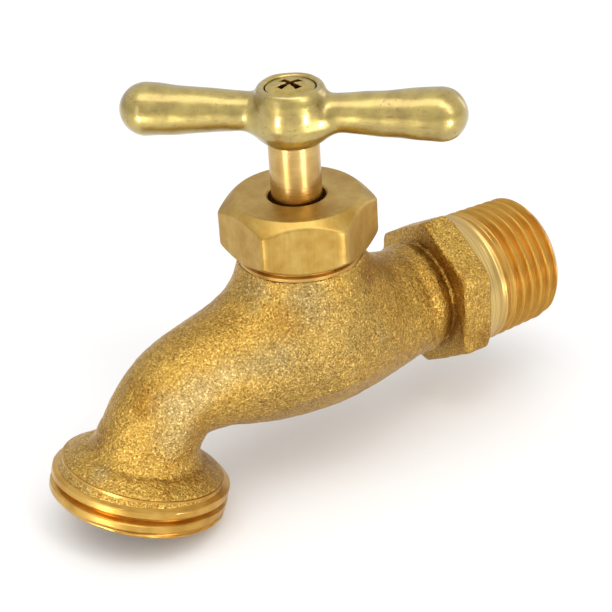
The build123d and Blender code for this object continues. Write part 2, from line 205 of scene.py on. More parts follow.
def surface_of(field, low, step):
    """Quads over the zero surface of a field on a grid: one vertex in each cell that it crosses."""
    shape = np.array(field.shape) - 1
    total = np.zeros((4, shape.prod()))
    edges = []
    for axis in range(3):
        near = np.take(field, range(field.shape[axis] - 1), axis)
        far = np.take(field, range(1, field.shape[axis]), axis)
        start = np.argwhere((near < 0) != (far < 0))
        a, b = near[tuple(start.T)], far[tuple(start.T)]
        point = start.astype(float)
        point[:, axis] += a / (a - b)
        u, v = (axis + 1) % 3, (axis + 2) % 3
        corners = []
        for du, dv in ((0, 0), (-1, 0), (-1, -1), (0, -1)):
            cell = start.copy()
            cell[:, u] += du
            cell[:, v] += dv
            flat = np.ravel_multi_index(cell.T, shape, mode="clip")
            corners.append(flat)
            total[3] += np.bincount(flat, minlength=total.shape[1])
            for k in range(3):
                total[k] += np.bincount(flat, weights=point[:, k], minlength=total.shape[1])
        quads = np.stack(corners, 1)
        quads[a > 0] = quads[a > 0][:, ::-1]
        edges.append(quads)
    used = np.flatnonzero(total[3])
    index = np.full(total.shape[1], -1)
    index[used] = np.arange(len(used))
    points = (total[:3, used] / total[3, used]).T * step + np.array(low)
    return points, index[np.vstack(edges)]


# ---- pieces ----

def new_piece(name, mesh, body, replaced, material, sharp_degrees):
    """Puts a finished mesh in the scene on its body, standing for a CAD node."""
    mesh.polygons.foreach_set("use_smooth", [True] * len(mesh.polygons))
    mesh.set_sharp_from_angle(angle=math.radians(sharp_degrees))
    mesh.materials.append(material)
    piece = bpy.data.objects.new(name, mesh)
    bpy.context.scene.collection.objects.link(piece)
    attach(piece, body)
    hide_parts(replaced)
    return piece


def mesh_of_field(name, field, low, step):
    """A mesh from a field about the stem axis, moved into the frame."""
    points, quads = surface_of(field, low, step)
    mesh = bpy.data.meshes.new(name)
    mesh.from_pydata(((points + (STEM_X, 0, 0)) * MM).tolist(), [], quads.tolist())
    mesh.validate()
    return mesh


def stitched(name, patches, place, turn):
    """Joins grids of (radius, height) rows, turned about +Z, where their edges meet.

    Each patch is (rows, columns, 2), and `turn` gives each column's place from 0 to 1 round the axis.
    `place` moves the piece, in millimetres about the stem axis, to where it belongs."""
    points, faces = [], []
    angle = 2 * math.pi * turn
    for patch in patches:
        rows, columns = patch.shape[:2]
        radius, height = patch[..., 0], patch[..., 1]
        base = sum(len(block) for block in points)
        points.append(np.stack([radius * np.cos(angle), radius * np.sin(angle), height], -1).reshape(-1, 3))
        index = base + np.arange(rows * columns).reshape(rows, columns)
        quads = np.stack([index[:-1, :-1], index[:-1, 1:], index[1:, 1:], index[1:, :-1]], -1)
        faces.append(quads.reshape(-1, 4))
    mesh = bpy.data.meshes.new(name)
    mesh.from_pydata(np.vstack(points).tolist(), [], np.vstack(faces).tolist())
    work = bmesh.new()
    work.from_mesh(mesh)
    bmesh.ops.remove_doubles(work, verts=work.verts, dist=2e-3)
    bmesh.ops.dissolve_degenerate(work, edges=work.edges, dist=1e-4)
    bmesh.ops.recalc_face_normals(work, faces=work.faces)
    work.to_mesh(mesh)
    work.free()
    mesh.transform(Matrix.Scale(MM, 4) @ Matrix.Translation((STEM_X, 0, 0)) @ place)
    return mesh


def plain_rows(outline, columns):
    """Rows for an outline of (radius, height) points that is the same all the way round."""
    return np.repeat(np.array(outline, float)[:, None, :], columns, axis=1)


def thread_rows(radius_at, low, high, pitch, turn, start=0.0, per_pitch=14):
    """Rows that climb with a right-hand thread, cut off square at both ends.

    radius_at(height, phase) gives the radius, where phase runs from 0 to 1 across one ridge and groove."""
    first = math.floor((low - start) / pitch) - 1
    last = math.ceil((high - start) / pitch) + 1
    steps = np.arange(first * per_pitch, last * per_pitch + 1) / per_pitch
    height = np.clip(start + pitch * (steps[:, None] + turn[None, :]), low, high)
    phase = ((height - start) / pitch - turn[None, :]) % 1.0
    return np.stack([radius_at(height, phase), height], -1)


def groove_shape(phase, crest, root):
    """0 on the crest and 1 at the root of a thread, for the widths of both as parts of a pitch."""
    from_crest = np.minimum(phase, 1 - phase)
    slope = (0.5 - root / 2) - crest / 2
    linear = np.clip((from_crest - crest / 2) / slope, 0, 1)
    return linear * linear * (3 - 2 * linear) * 0.35 + linear * 0.65


def along_inlet():
    """+Z out of the inlet."""
    return Matrix.Rotation(math.radians(90), 4, "Y")


def along_outlet():
    """+Z out of the spout, with z = 0 at the sealing face."""
    tilt = math.atan2(-HOSE_AXIS[0], -HOSE_AXIS[2])
    return Matrix.Translation(HOSE_FACE) @ Matrix.Rotation(math.pi + tilt, 4, "Y")


# ---- the casting ----

def hexagon_distance(u, v, across):
    """Distance in a plane to a hexagon with corners on the v axis."""
    flats = [abs(u * math.cos(k * math.pi / 3) + v * math.sin(k * math.pi / 3)) for k in range(3)]
    return smooth_max(smooth_max(flats[0], flats[1], 0.4), flats[2], 0.4) - across / 2


def wrench_hexagon(x, y, z):
    """The cast hexagon, turned down at its thread side and rounded on its other edges."""
    end = INLET_REACH - PIPE_LENGTH
    radius = np.hypot(y, z)
    corner = HEX_ACROSS / math.sqrt(3)
    hexagon = hexagon_distance(y, z, HEX_ACROSS)
    turned = (radius - corner + 1.0 + (x - end) * 1.1) * 0.68
    cast_side = (radius - corner + 0.45 + (end - HEX_WIDTH - x) * 0.9) * 0.74
    hexagon = smooth_max(smooth_max(hexagon, turned, 0.2), cast_side, 0.4)
    return smooth_max(smooth_max(hexagon, x - end, 0.1), end - HEX_WIDTH - x, 0.45)


def outlet_place(x, y, z):
    """Places measured from the sealing face: out along the outlet axis, across it, and the radius."""
    h = (x - HOSE_FACE[0]) * HOSE_AXIS[0] + (z - HOSE_FACE[2]) * HOSE_AXIS[2]
    across = (x - HOSE_FACE[0]) * HOSE_AXIS[2] - (z - HOSE_FACE[2]) * HOSE_AXIS[0]
    return h, across, np.hypot(across, y)


def bell(h, radius):
    """The rough flare at the end of the spout, with its step."""
    outline = [
        (0, -11.3),
        (7.2, -11.3),
        (7.5, -10.1),
        (8.1, -8.9),
        (8.75, -8.1),
        (8.8, -7.9),
        (9.6, -7.7),
        (10.6, -7.1),
        (11.7, -6.3),
        (12.5, -5.4),
        (12.8, -4.7),
        (BELL_R, 0),
        (0, 0),
    ]
    return outline_distance(radius, h, outline)


def casting_field(x, y, z):
    """The rough casting: trunk, spout, bell, neck and hexagon, less its bores and chamber."""
    stem_r = np.hypot(x, y)
    end = INLET_REACH - PIPE_LENGTH
    outlet_h, across, outlet_r = outlet_place(x, y, z)
    skew = math.radians(HOSE_SKEW_TURN)
    rough_edge = -HOSE_BACK + HOSE_SKEW * (across * math.cos(skew) + y * math.sin(skew)) / HOSE_CREST_R
    trunk = pipe_distance(x, y, z, BODY_SECTIONS)
    trunk = smooth_max(trunk, x - BODY_SECTIONS[0][0], 0.4)
    inlet_r = np.hypot(y, z - 0.3)
    ridge = np.hypot(inlet_r - 8.1, x - end + HEX_WIDTH + 2.6) - 0.5
    neck = smooth_max(stem_r - NECK_R, np.maximum(z - NECK_TOP + NECK_COLLAR, -z), 0.2)
    solid = smooth_min(smooth_min(trunk, ridge, 2.2), neck, 6.0)
    solid = smooth_min(solid, bell(outlet_h, outlet_r), 1.1)
    solid = smooth_min(solid, wrench_hexagon(x, y, z), 0.15)
    points = (x, y, z)
    solid = solid + waves(points, 7.0, 0.035, seed=3) + waves(points, 2.0, 0.018, seed=5)
    solid = np.maximum(solid, z - NECK_TOP + NECK_COLLAR)
    solid = np.maximum(solid, x - end)
    solid = np.maximum(solid, np.where(outlet_r < 20, outlet_h - rough_edge - BELL_TUCK, -100))
    inlet = np.maximum(np.hypot(y, z) - INLET_BORE_R, 13.0 - x)
    oval = np.maximum(np.hypot(y / 5.2, (z + 5.1) / 3.2) * 3.2 - 3.2, np.maximum(-4.6 - x, x - 15))
    seat_hole = np.maximum(stem_r - SEAT_HOLE_R, np.maximum(-5.1 - z, z - SEAT_TOP - 1))
    chamber = np.maximum(stem_r - CHAMBER_R, np.maximum(CHAMBER_FLOOR - z, z - CHAMBER_TOP))
    chamber = np.maximum(chamber, -np.maximum(stem_r - SEAT_RING_R, z - SEAT_TOP))
    stem_bore = np.maximum(stem_r - SLEEVE_R, CHAMBER_TOP - 0.5 - z)
    spout = pipe_distance(x, y, z, [(sx, sz, SPOUT_BORE_R) for sx, sz, _ in BODY_SECTIONS[4:]])
    mouth = np.maximum(outlet_r - OUTLET_BORE_R, -OUTLET_BORE_DEPTH - outlet_h)
    funnel = np.maximum(outlet_r - OUTLET_BORE_R - (outlet_h + OUTLET_BORE_DEPTH) * 1.8, -8.0 - outlet_h)
    for hollow in (inlet, oval, seat_hole, chamber, stem_bore, spout, mouth, funnel):
        solid = np.maximum(solid, -hollow)
    return solid


def make_casting(material):
    step = 0.35
    low = np.array([-47.0, -14.2, -20.5])
    high = np.array([INLET_REACH - PIPE_LENGTH + 1, 14.2, NECK_TOP + 1])
    x, y, z = grid_points(low, high, step)
    mesh = mesh_of_field("casting", casting_field(x, y, z), low, step)
    return new_piece("casting", mesh, "valve_body", "body_casting", material, 50)


def make_inlet_thread(material):
    """The turned end of the inlet: tapered thread, run-out band, end face and bore."""
    turn = np.linspace(0, 1, 193)
    root = INLET_REACH - PIPE_LENGTH
    bevel = 1.0

    def radius_at(height, phase):
        from_end = INLET_REACH - height
        blank = np.minimum(PIPE_CREST_R + from_end * PIPE_TAPER, PIPE_CREST_R + 0.38)
        fade = np.clip((height - root - 1.0) / 5.0, 0, 1)
        cut = PIPE_DEPTH * fade * groove_shape(phase, crest=0.06, root=0.30)
        return np.minimum(blank - cut, PIPE_CREST_R - bevel + from_end * 1.0)

    thread = thread_rows(radius_at, root, INLET_REACH, PIPE_PITCH, turn, start=root + 0.4)
    deep = root - 1.5
    inner = thread[0, 0, 0] - 1.5
    bore = plain_rows([(INLET_BORE_R + 0.35, INLET_REACH), (INLET_BORE_R, INLET_REACH - 0.35),
                       (INLET_BORE_R, deep), (inner, deep)], len(turn))
    face = np.stack([thread[-1], bore[0]])
    back = np.stack([bore[-1], plain_rows([(inner, root)], len(turn))[0], thread[0]])
    mesh = stitched("inlet_thread", [thread, face, bore, back], along_inlet(), turn)
    return new_piece("inlet_thread", mesh, "valve_body", "body_casting", material, 40)


def make_hose_thread(material):
    """The turned end of the spout: hose thread, sealing face and bore."""
    turn = np.linspace(0, 1, 257)
    bevel = 0.9
    low = -HOSE_BACK - HOSE_SKEW - 0.6
    edge = -HOSE_BACK + HOSE_SKEW * np.cos(2 * math.pi * turn - math.radians(HOSE_SKEW_TURN))

    def radius_at(height, phase):
        from_edge = height - edge[None, :]
        fade = np.clip(-height / 1.5, 0, 1) * np.clip((from_edge - 0.45) / 0.7, 0, 1)
        cut = HOSE_DEPTH * fade * groove_shape(phase, crest=0.42, root=0.06)
        rise = BELL_R + np.clip(from_edge * 1.8, -0.5, 1.0)
        return np.minimum(np.minimum(HOSE_CREST_R, rise) - cut, HOSE_CREST_R - bevel - height * 1.1)

    thread = thread_rows(radius_at, low, 0.0, HOSE_PITCH, turn, start=HOSE_CREST_AT, per_pitch=20)
    bore = plain_rows([(OUTLET_BORE_R + 0.3, 0), (OUTLET_BORE_R, -0.3), (OUTLET_BORE_R, low)], len(turn))
    face = np.stack([thread[-1], bore[0]])
    back = np.stack([bore[-1], thread[0]])
    mesh = stitched("hose_thread", [thread, face, bore, back], along_outlet(), turn)
    return new_piece("hose_thread", mesh, "valve_body", "body_casting", material, 40)


def make_neck_thread(material):
    """The turned top of the neck: the nut's thread outside it and the stem's thread inside it."""
    turn = np.linspace(0, 1, 145)

    def radius_at(height, phase):
        cut = (NECK_CREST_R - NECK_ROOT_R) * groove_shape(phase, crest=0.16, root=0.1)
        ends = NECK_ROOT_R + np.clip(np.minimum(height - NECK_THREAD_LOW, NECK_END - height), 0, 1)
        return np.minimum(NECK_CREST_R - cut, ends)

    thread = thread_rows(radius_at, NECK_THREAD_LOW, NECK_END, NECK_PITCH, turn, start=NECK_CREST_AT)
    collar_low = NECK_TOP - NECK_COLLAR
    collar_r, shoulder_r = NECK_R + 0.03, NECK_R - 0.4
    nut_foot = NUT_LOW[2] - 0.1
    foot = plain_rows([(SLEEVE_R, CHAMBER_TOP), (SLEEVE_R, collar_low), (collar_r, collar_low),
                       (collar_r, NECK_TOP - 0.2), (NECK_R - 0.2, NECK_TOP), (shoulder_r, NECK_TOP),
                       (shoulder_r, nut_foot), (NECK_ROOT_R, nut_foot),
                       (NECK_ROOT_R, NECK_THREAD_LOW)], len(turn))

    def sleeve_radius(height, phase):
        root = STEM_CREST_R + 0.15
        return root - (root - SLEEVE_CREST_R) * groove_shape(phase, crest=0.50, root=0.20)

    sleeve = thread_rows(sleeve_radius, CHAMBER_TOP, PACKING_FLOOR, STEM_PITCH, turn, start=STEM_CREST_AT)
    box_r = PACKING_R + 0.02
    box = plain_rows([(NECK_ROOT_R, NECK_END), (box_r, NECK_END), (box_r, PACKING_FLOOR)], len(turn))
    shelf = np.stack([box[-1], sleeve[-1]])
    end = np.stack([sleeve[0], foot[0]])
    mesh = stitched("neck_thread", [foot, thread, box, shelf, sleeve, end], Matrix.Identity(4), turn)
    return new_piece("neck_thread", mesh, "valve_body", "body_casting", material, 40)


def make_packing_nut(material):
    """The hexagonal nut: chamfered on both faces, with its thread and its stem hole."""
    low, high = NUT_LOW[2], NUT_HIGH[2]
    apothem, corner = NUT_ACROSS / 2, NUT_ACROSS / math.sqrt(3)
    # Columns crowd towards the corners, where the outline bends.
    bend = 30 * np.sin(np.linspace(-math.pi / 2, math.pi / 2, 49))
    off_flat = np.concatenate([bend[:-1]] * 6 + [bend[-1:]])
    turn = (np.concatenate([60 * side + 30 + bend[:-1] for side in range(6)] + [[360.0]])) / 360
    hexagon = smooth_min(apothem / np.cos(np.radians(off_flat)), corner - 0.22, 0.35)

    def outer_row(height):
        top_cone = NUT_FACE_R + (high - height) * (corner - NUT_FACE_R) / 2.15
        low_cone = apothem - 0.25 + (height - low) * (corner - apothem + 0.25) / 1.35
        radius = smooth_min(smooth_min(hexagon, top_cone, 0.35), low_cone, 0.3)
        return np.stack([radius, np.full(len(turn), height)], -1)

    heights = np.concatenate([np.arange(low, low + 1.5, 0.08), np.arange(low + 1.6, high - 2.4, 0.4),
                              np.arange(high - 2.35, high, 0.08), [high]])
    outside = np.stack([outer_row(height) for height in heights])
    face_edge = outside[-1].copy()
    face_edge[:, 0] -= 0.35
    face_edge[:, 1] += 0.04
    top = np.concatenate([outside[-1:], face_edge[None], plain_rows(
        [(NUT_HOLE_R + 0.25, high + 0.04), (NUT_HOLE_R, high - 0.2), (NUT_HOLE_R, GLAND_TOP)], len(turn))])
    depth = NECK_CREST_R - NECK_ROOT_R

    def bore_radius(height, phase):
        return NECK_CREST_R + THREAD_GAP - depth * groove_shape(phase, crest=0.16, root=0.1)

    bore = thread_rows(bore_radius, low, GLAND_TOP, NECK_PITCH, turn, start=NECK_CREST_AT, per_pitch=10)
    ceiling = np.stack([top[-1], bore[-1]])
    floor = np.stack([bore[0], outside[0]])
    place = Matrix.Rotation(math.radians(NUT_TURN), 4, "Z")
    mesh = stitched("packing_nut_turned", [outside, top, ceiling, bore, floor], place, turn)
    return new_piece("packing_nut_turned", mesh, "valve_body", "packing_nut", material, 40)


# ---- the handle and its screw ----

def handle_turn():
    """Direction of the arms, in radians from +X."""
    return math.atan2(HANDLE_LOW[1] - HANDLE_HIGH[1], HANDLE_HIGH[0] - HANDLE_LOW[0])


def handle_field(x, y, z):
    """The cast tee: two tapering arms run into a round boss that is bored for the stem and its screw."""
    end_r, neck_r, neck_at = 4.0, 2.87, 6.8
    turn = handle_turn()
    span = HANDLE_HIGH - HANDLE_LOW - 2 * end_r
    reach = math.hypot(span[0], span[1]) / 2
    foot, top, middle = HANDLE_LOW[2], HANDLE_HIGH[2], HANDLE_LOW[2] + 4.45
    along = x * math.cos(turn) + y * math.sin(turn)
    across = y * math.cos(turn) - x * math.sin(turn)
    stem_r = np.hypot(x, y)
    far = np.clip(np.abs(along), 0, reach)
    taper = neck_r + (end_r - neck_r) * np.clip((far - neck_at) / (reach - neck_at), 0, 1)
    arms = np.sqrt((np.abs(along) - far) ** 2 + across ** 2 + (z - middle) ** 2) - taper
    side = [
        (0, foot),
        (4.1, foot),
        (4.75, foot + 0.8),
        (5.3, foot + 1.9),
        (5.65, foot + 3.3),
        (5.72, foot + 4.6),
        (5.6, foot + 6.0),
        (5.4, foot + 7.2),
        (5.15, foot + 8.0),
        (4.85, top - 0.25),
        (4.5, top),
        (4.1, top - 0.05),
        (3.8, top - 0.3),
        (0, top - 0.3),
    ]
    boss = outline_distance(stem_r, z, side)
    # The web under the arms is wide, and the corner over them is tight.
    blend = np.clip(2.0 - (z - middle) * 0.45, 0.9, 3.0)
    solid = smooth_min(boss, arms, blend)
    solid = solid + waves((x, y, z), 5.0, 0.03, seed=11)
    counterbore = np.maximum(stem_r - screw_dome()[0] - 0.1, SCREW_SEAT - z)
    socket = np.maximum(np.maximum(np.abs(along), np.abs(across)) - 3.05, z - 40.2)
    socket = np.maximum(socket, stem_r - 3.9)
    shank = stem_r - TAP_R - 0.3
    for hollow in (counterbore, socket, shank):
        solid = np.maximum(solid, -hollow)
    return np.maximum(solid, foot - z)


def make_handle(material):
    step = 0.19
    margin = np.array([0.8, 0.8, 0.8])
    low = HANDLE_LOW - (STEM_X, 0, 0) - margin
    high = HANDLE_HIGH - (STEM_X, 0, 0) + margin
    x, y, z = grid_points(low, high, step)
    mesh = mesh_of_field("handle", handle_field(x, y, z), low, step)
    return new_piece("handle_cast", mesh, "stem_and_handle", "tee_handle", material, 50)


def screw_dome():
    """The radius of the screw's head, and the radius of the dome on it."""
    head_r = (SCREW_HIGH[1] - SCREW_LOW[1]) / 2
    rise = SCREW_TOP - SCREW_EDGE
    return head_r, (head_r ** 2 + rise ** 2) / (2 * rise)


def screw_field(x, y, z):
    """The handle screw: a low domed head with a cross pressed into it, on a plain shank."""
    head_r, dome_r = screw_dome()
    radius = np.hypot(x, y)
    dome = np.sqrt(radius ** 2 + (z - SCREW_TOP + dome_r) ** 2) - dome_r
    head = smooth_max(np.maximum(radius - head_r, SCREW_SEAT - z), dome, 0.12)
    shank = np.maximum(radius - TAP_R + 0.04, np.maximum(SCREW_LOW[2] - z, z - SCREW_SEAT - 0.2))
    solid = np.minimum(head, shank)
    for turn in (SCREW_TURN, SCREW_TURN + 90):
        along = x * math.cos(math.radians(turn)) + y * math.sin(math.radians(turn))
        across = y * math.cos(math.radians(turn)) - x * math.sin(math.radians(turn))
        floor = SCREW_TOP - 1.5 + 0.42 * np.abs(along)
        slot = np.maximum(np.abs(across) - 0.30 - 0.16 * np.abs(along), np.abs(along) - 2.05)
        slot = smooth_max(slot, (floor - z) * 0.9, 0.1)
        solid = smooth_max(solid, -slot, 0.08)
    return solid


def make_handle_screw(material):
    step = 0.085
    low = SCREW_LOW - (STEM_X, 0, 0) - 0.4
    high = SCREW_HIGH - (STEM_X, 0, 0) + 0.4
    x, y, z = grid_points(low, high, step)
    mesh = mesh_of_field("handle_screw", screw_field(x, y, z), low, step)
    return new_piece("cross_screw", mesh, "stem_and_handle", "handle_screw", material, 50)


# ---- materials ----

YELLOW, BEIGE, BROWN = (0.485, 0.295, 0.062), (0.47, 0.345, 0.135), (0.37, 0.20, 0.036)
DARKER_FRONT, GREY = (0.33, 0.22, 0.066), (0.33, 0.24, 0.092)
# Where the casting's colour gathers: (place in millimetres about the stem axis, reach, colour). Some are painted
# light, marked below.
CAST_PATCHES = [
    ((-16.3, -0.9, 9.8), 6.0, YELLOW),
    ((-24.1, -3.3, 7.0), 5.0, YELLOW),
    # Darker colour on the middle of the trunk's front and on the belly's front.
    ((-8.0, -10.5, 2.5), 9.0, DARKER_FRONT),
    ((0.5, -11.5, 5.0), 8.0, DARKER_FRONT),
    ((-10.5, -9.6, 5.0), 3.4, GREY),
    ((-15.0, -8.7, 4.8), 3.2, GREY),
    # Painted highlight: a streak of paler beige down the front of the spout.
    ((-19.1, -7.5, 4.3), 3.2, BEIGE),
    ((-23.2, -7.0, 3.2), 3.2, BEIGE),
    ((-27.0, -6.8, 1.4), 3.2, BEIGE),
    ((-28.8, -7.2, -2.5), 3.2, BEIGE),
    ((-5.0, -8.2, 13.0), 4.5, GREY),
    ((-9.4, -1.5, 12.7), 3.0, GREY),
    # Painted shade: brown along the concave groove beside the hexagon.
    ((17.1, -1.9, 9.8), 7.0, BROWN),
    ((20.5, -6.5, 6.0), 4.5, BROWN),
    ((21.5, -9.0, -1.0), 3.5, BROWN),
    # Painted shade: brown in the crease between the neck and the spout.
    ((-8.3, -6.8, 9.2), 3.4, BROWN),
]


class Nodes:
    """A short way to write a node tree."""

    def __init__(self, name):
        self.material = bpy.data.materials.new(name)
        self.material.use_nodes = True
        self.tree = self.material.node_tree
        self.shader = self.tree.nodes["Principled BSDF"]

    def add(self, kind, settings=None, **inputs):
        node = self.tree.nodes.new(kind)
        for key, value in (settings or {}).items():
            setattr(node, key, value)
        for key, value in inputs.items():
            self.put(node.inputs[key.replace("_", " ")], value)
        return node

    def put(self, socket, value):
        if isinstance(value, bpy.types.NodeSocket):
            self.tree.links.new(value, socket)
        else:
            socket.default_value = value

    def object_points(self, scale=(1, 1, 1), offset=(0, 0, 0)):
        """Object coordinates, shifted and then scaled."""
        place = self.add("ShaderNodeTexCoord").outputs["Object"]
        shift = self.add("ShaderNodeVectorMath", {"operation": "SUBTRACT"})
        self.put(shift.inputs[0], place)
        self.put(shift.inputs[1], offset)
        grow = self.add("ShaderNodeVectorMath", {"operation": "MULTIPLY"})
        self.put(grow.inputs[0], shift.outputs[0])
        self.put(grow.inputs[1], scale)
        return grow.outputs[0]

    def noise(self, grain_mm, points=None, detail=3.0, roughness=0.55, distortion=0.0):
        """Noise from 0 to 1 whose features are about grain_mm across."""
        node = self.add("ShaderNodeTexNoise", Scale=1 / (grain_mm * MM), Detail=detail,
                        Roughness=roughness, Distortion=distortion)
        self.put(node.inputs["Vector"], points or self.object_points())
        return node.outputs["Fac"]

    def ramp(self, value, *stops):
        """Colours or greys at places from 0 to 1."""
        node = self.add("ShaderNodeValToRGB")
        self.put(node.inputs["Fac"], value)
        elements = node.color_ramp.elements
        while len(elements) < len(stops):
            elements.new(0.5)
        for element, (place, colour) in zip(elements, stops):
            element.position = place
            element.color = (*colour, 1) if isinstance(colour, tuple) else (colour, colour, colour, 1)
        return node.outputs["Color"]

    def maths(self, operation, *values):
        node = self.add("ShaderNodeMath", {"operation": operation})
        for socket, value in zip(node.inputs, values):
            self.put(socket, value)
        return node.outputs[0]

    def length(self, vector):
        node = self.add("ShaderNodeVectorMath", {"operation": "LENGTH"})
        self.put(node.inputs[0], vector)
        return node.outputs["Value"]

    def lines(self, level, spacing_mm):
        """Fine uneven lines across a distance."""
        scale = 1 / (spacing_mm * MM)
        node = self.add("ShaderNodeTexNoise", {"noise_dimensions": "1D"}, Scale=scale, Detail=2.0)
        self.put(node.inputs["W"], level)
        return node.outputs["Fac"]

    def mix(self, amount, a, b, kind="MIX"):
        node = self.add("ShaderNodeMix", {"data_type": "RGBA", "blend_type": kind})
        self.put(node.inputs["Factor"], amount)
        self.put(node.inputs["A"], a if isinstance(a, bpy.types.NodeSocket) else (*a, 1))
        self.put(node.inputs["B"], b if isinstance(b, bpy.types.NodeSocket) else (*b, 1))
        return node.outputs["Result"]

    def dot(self, points, direction):
        node = self.add("ShaderNodeVectorMath", {"operation": "DOT_PRODUCT"})
        self.put(node.inputs[0], points)
        self.put(node.inputs[1], direction)
        return node.outputs["Value"]

    def near(self, place, reach, wobble):
        """1 close to a place in millimetres about the stem axis, falling unevenly to 0 past `reach`."""
        centre = ((place[0] + STEM_X) * MM, place[1] * MM, place[2] * MM)
        away = self.length(self.object_points((1 / (reach * MM),) * 3, centre))
        pushed = self.maths("MULTIPLY_ADD", wobble, 1.6, away)
        return self.ramp(self.maths("MULTIPLY", pushed, 0.5), (0.45, 0.85), (1.0, 0.0))

    def crevice_shade(self, reach_mm, darkest):
        """Painted shade: white, falling to a warm tone about as bright as `darkest` in tight inside corners."""
        node = self.add("ShaderNodeAmbientOcclusion", {"only_local": True, "samples": 8})
        node.inputs["Distance"].default_value = reach_mm * MM
        warm = (min(1.0, darkest * 1.25), darkest, darkest * 0.7)
        return self.ramp(node.outputs["AO"], (0.35, warm), (0.9, 1.0))

    def bump(self, height, depth_mm, normal=None):
        node = self.add("ShaderNodeBump", Strength=1.0, Distance=depth_mm * MM, Height=height)
        if normal is not None:
            self.put(node.inputs["Normal"], normal)
        return node.outputs["Normal"]

    def finish(self, colour, roughness, normal=None, metallic=1.0):
        self.put(self.shader.inputs["Base Color"], colour)
        self.put(self.shader.inputs["Roughness"], roughness)
        self.shader.inputs["Metallic"].default_value = metallic
        if normal is not None:
            self.put(self.shader.inputs["Normal"], normal)
        return self.material


def cast_brass():
    """Sand-cast brass: a grain with painted glints and shade over patches of yellow, brown and grey-beige, some of
    them painted highlight and shade, and painted shade in inside corners.
    """
    n = Nodes("cast_brass")
    grain = n.noise(0.29, detail=2.0, roughness=0.5, distortion=0.5)
    clumps = n.noise(0.9, detail=3.0, roughness=0.6)
    patch = n.noise(9.0, detail=3.0)
    fine = n.noise(0.15, detail=1.0)
    colour = n.ramp(patch, (0.32, BROWN), (0.44, YELLOW), (0.62, YELLOW), (0.80, BEIGE))
    # Some patches are painted light: a highlight streak down the spout's front, and shade beside the hexagon and
    # in the crease under the neck.
    for place, reach, tone in CAST_PATCHES:
        colour = n.mix(n.near(place, reach, patch), colour, tone)
    # Painted shade and glints: the grain's low spots are darkened, and its sparse high spots are lifted far above
    # the base colour.
    shade = n.ramp(grain, (0.30, (0.50, 0.41, 0.30)), (0.47, (0.93, 0.91, 0.88)),
                   (0.58, (1.08, 1.08, 1.08)), (0.68, (1.75, 1.85, 2.3)))
    colour = n.mix(1.0, colour, shade, "MULTIPLY")
    colour = n.mix(1.0, colour, n.ramp(clumps, (0.32, 0.80), (0.60, 1.06)), "MULTIPLY")
    # Painted shade in tight inside corners.
    colour = n.mix(1.0, colour, n.crevice_shade(1.6, 0.42), "MULTIPLY")
    rough = n.maths("MULTIPLY_ADD", fine, 0.22, 0.28)
    normal = n.bump(grain, 0.16)
    normal = n.bump(clumps, 0.20, normal=normal)
    return n.finish(colour, rough, normal)


def turned_brass(name, colour, roughness, axis_point, axis, line_mm=0.12, along=True, dark=0.80, band=None):
    """Machined brass. Fine lathe lines step along its axis, or outwards from it, its colour drifts, and inside
    corners get painted shade.

    A band, (start, stop, colour), is a painted highlight: a paler stretch along the axis, with brighter lathe
    lines, that fades out by `stop` millimetres."""
    n = Nodes(name)
    points = n.object_points(offset=axis_point)
    height = n.dot(points, axis)
    if along:
        level = height
    else:
        across = n.add("ShaderNodeVectorMath", {"operation": "CROSS_PRODUCT"})
        n.put(across.inputs[0], points)
        n.put(across.inputs[1], axis)
        level = n.length(across.outputs[0])
    lines = n.lines(level, line_mm)
    cloud = n.noise(3.5, detail=3.0)
    deep = tuple(part * dark ** power for part, power in zip(colour, (1.0, 1.35, 2.0)))
    tone = n.mix(n.ramp(cloud, (0.38, 0.0), (0.62, 1.0)), deep, colour)
    streak = n.ramp(lines, (0.35, 0.90), (0.6, 1.04))
    # Painted highlight: the band is paler and its lathe lines brighter.
    if band:
        start, stop, pale = band
        place = n.add("ShaderNodeMapRange", {"clamp": True})
        for socket, value in zip(place.inputs[:3], (height, start * MM, stop * MM)):
            n.put(socket, value)
        fade = n.ramp(place.outputs[0], (0.0, 1.0), (0.45, 0.8), (1.0, 0.0))
        tone = n.mix(fade, tone, pale)
        streak = n.mix(fade, streak, n.ramp(lines, (0.38, 0.72), (0.6, 1.15)))
    tone = n.mix(1.0, tone, streak, "MULTIPLY")
    # Painted shade in tight inside corners.
    tone = n.mix(1.0, tone, n.crevice_shade(0.8, 0.72), "MULTIPLY")
    rough = n.maths("MULTIPLY_ADD", cloud, 0.10, roughness - 0.05)
    return n.finish(tone, rough, n.bump(lines, 0.004))


def nut_brass():
    """The milled nut: upright brush lines on its flats, lathe rings on its faces."""
    n = Nodes("nut_brass")
    axis = (STEM_X * MM, 0, 0)
    brush = n.noise(0.30, n.object_points((1, 1, 0.05), axis), detail=3.0, roughness=0.7)
    rings = n.lines(n.length(n.object_points((1, 1, 0), axis)), 0.25)
    cloud = n.noise(4.0, detail=4.0, roughness=0.6)
    colour = n.ramp(cloud, (0.34, (0.41, 0.235, 0.050)), (0.50, (0.475, 0.30, 0.074)),
                    (0.68, (0.53, 0.365, 0.11)))
    colour = n.mix(1.0, colour, n.ramp(brush, (0.35, 0.92), (0.62, 1.03)), "MULTIPLY")
    # Painted shade in tight inside corners.
    colour = n.mix(1.0, colour, n.crevice_shade(0.8, 0.6), "MULTIPLY")
    rough = n.maths("MULTIPLY_ADD", brush, 0.14, 0.35)
    normal = n.bump(brush, 0.006)
    normal = n.bump(rings, 0.003, normal=normal)
    return n.finish(colour, rough, normal)


